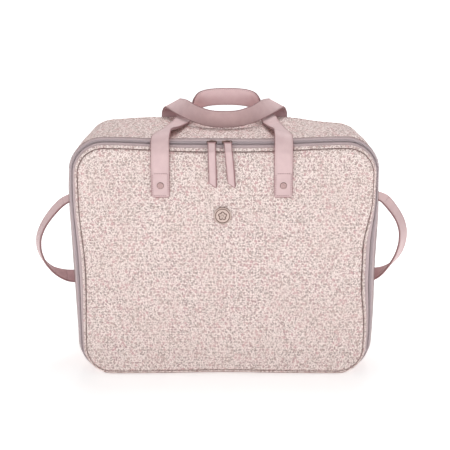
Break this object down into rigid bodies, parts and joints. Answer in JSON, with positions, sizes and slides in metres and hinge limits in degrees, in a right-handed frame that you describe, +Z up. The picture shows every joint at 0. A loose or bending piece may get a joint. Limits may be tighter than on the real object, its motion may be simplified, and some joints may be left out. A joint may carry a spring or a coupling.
{
  "type": "soft zip-around packing case",
  "caption": "Soft upright packing case with a zipped front lid that folds down, two carry handles on top and a grab loop on each side.",
  "frame": {"origin": "middle of the flat base, at the height of its underside", "axes": "+Z up, -Y out of the zipped lid, +X along the width"},
  "size_m": [0.6094, 0.2139, 0.4453],
  "materials": {
    "printed_leatherette": "fine-grained coated fabric with a small all-over floral print",
    "pink_leatherette": "satin, fine grain, edge-stitched",
    "zip_tape": "woven tape",
    "zip_coil": "nylon coil",
    "zip_metal": "polished antique nickel",
    "satin_nickel": "satin",
    "stiffening_board": "foam board",
    "lining_cloth": "plain woven polyester"
  },
  "bodies": {
    "case": {"gusset": "printed_leatherette", "base_panel": "printed_leatherette", "back_panel": "printed_leatherette", "back_welt": "printed_leatherette", "hinge_strip": "printed_leatherette", "back_board": "stiffening_board", "top_board": "stiffening_board", "base_board": "stiffening_board", "left_board": "stiffening_board", "right_board": "stiffening_board", "gusset_lining": "lining_cloth", "back_lining": "lining_cloth", "body_zip_tape": "zip_tape", "body_zip_coil": "zip_coil", "zip_end_left": "pink_leatherette", "zip_end_right": "pink_leatherette", "rear_handle_end_left": "pink_leatherette", "rear_handle_end_right": "pink_leatherette", "rear_rivet_left": "satin_nickel", "rear_rivet_right": "satin_nickel", "rear_rivet_left_washer": "satin_nickel", "rear_rivet_right_washer": "satin_nickel", "left_side_handle_end_upper": "pink_leatherette", "left_side_handle_end_lower": "pink_leatherette", "right_side_handle_end_upper": "pink_leatherette", "right_side_handle_end_lower": "pink_leatherette"},
    "lid": {"front_panel": "printed_leatherette", "front_board": "stiffening_board", "lid_lining": "lining_cloth", "front_welt": "printed_leatherette", "lid_zip_tape": "zip_tape", "lid_zip_coil": "zip_coil", "badge": "satin_nickel", "badge_washer": "satin_nickel", "front_handle_end_left": "pink_leatherette", "front_handle_end_right": "pink_leatherette", "front_rivet_left": "satin_nickel", "front_rivet_right": "satin_nickel", "front_rivet_left_washer": "satin_nickel", "front_rivet_right_washer": "satin_nickel"},
    "front_handle": {"front_handle_outer": "pink_leatherette", "front_handle_inner": "pink_leatherette"},
    "rear_handle": {"rear_handle_outer": "pink_leatherette", "rear_handle_inner": "pink_leatherette"},
    "left_handle": {"left_side_handle": "pink_leatherette"},
    "right_handle": {"right_side_handle": "pink_leatherette"},
    "left_slider": {"left_slider": "zip_metal", "left_slider_crown": "zip_metal"},
    "right_slider": {"right_slider": "zip_metal", "right_slider_crown": "zip_metal"},
    "left_pull": {"left_pull_ring": "zip_metal", "left_pull_tab": "pink_leatherette"},
    "right_pull": {"right_pull_ring": "zip_metal", "right_pull_tab": "pink_leatherette"}
  },
  "joints": [
    {"name": "lid_hinge", "type": "hinge", "parent": "case", "child": "lid", "pos_m": [0, -0.0965, 0.0165], "axis": [1, 0, 0], "range_deg": [0, 90], "deforming": ["lid_zip_tape", "lid_zip_coil", "left_pull_tab", "right_pull_tab"]},
    {"name": "front_handle_swing", "type": "hinge", "parent": "lid", "child": "front_handle", "pos_m": [0, -0.1009, 0.341], "axis": [-1, 0, 0], "range_deg": [-150, 0], "deforming": ["front_handle_outer", "front_handle_inner"]},
    {"name": "rear_handle_swing", "type": "hinge", "parent": "case", "child": "rear_handle", "pos_m": [0, 0.1009, 0.341], "axis": [1, 0, 0], "range_deg": [-150, 0], "deforming": ["rear_handle_outer", "rear_handle_inner"]},
    {"name": "left_handle_swing", "type": "hinge", "parent": "case", "child": "left_handle", "pos_m": [-0.2399, 0, 0.212], "axis": [0, 0, 1], "range_deg": [-50, 30], "deforming": ["left_side_handle"]},
    {"name": "right_handle_swing", "type": "hinge", "parent": "case", "child": "right_handle", "pos_m": [0.2399, 0, 0.212], "axis": [0, 0, -1], "range_deg": [-50, 30], "deforming": ["right_side_handle"]},
    {"name": "left_slider_slide", "type": "slide", "parent": "case", "child": "left_slider", "axis": [-1, 0, 0], "range_m": [0, 0.16]},
    {"name": "right_slider_slide", "type": "slide", "parent": "case", "child": "right_slider", "axis": [1, 0, 0], "range_m": [0, 0.17]},
    {"name": "left_pull_swing", "type": "hinge", "parent": "left_slider", "child": "left_pull", "pos_m": [-0.0185, -0.09077, 0.3863], "axis": [-1, 0, 0], "range_deg": [0, 120]},
    {"name": "right_pull_swing", "type": "hinge", "parent": "right_slider", "child": "right_pull", "pos_m": [0.0055, -0.09077, 0.3863], "axis": [-1, 0, 0], "range_deg": [0, 120]}
  ]
}
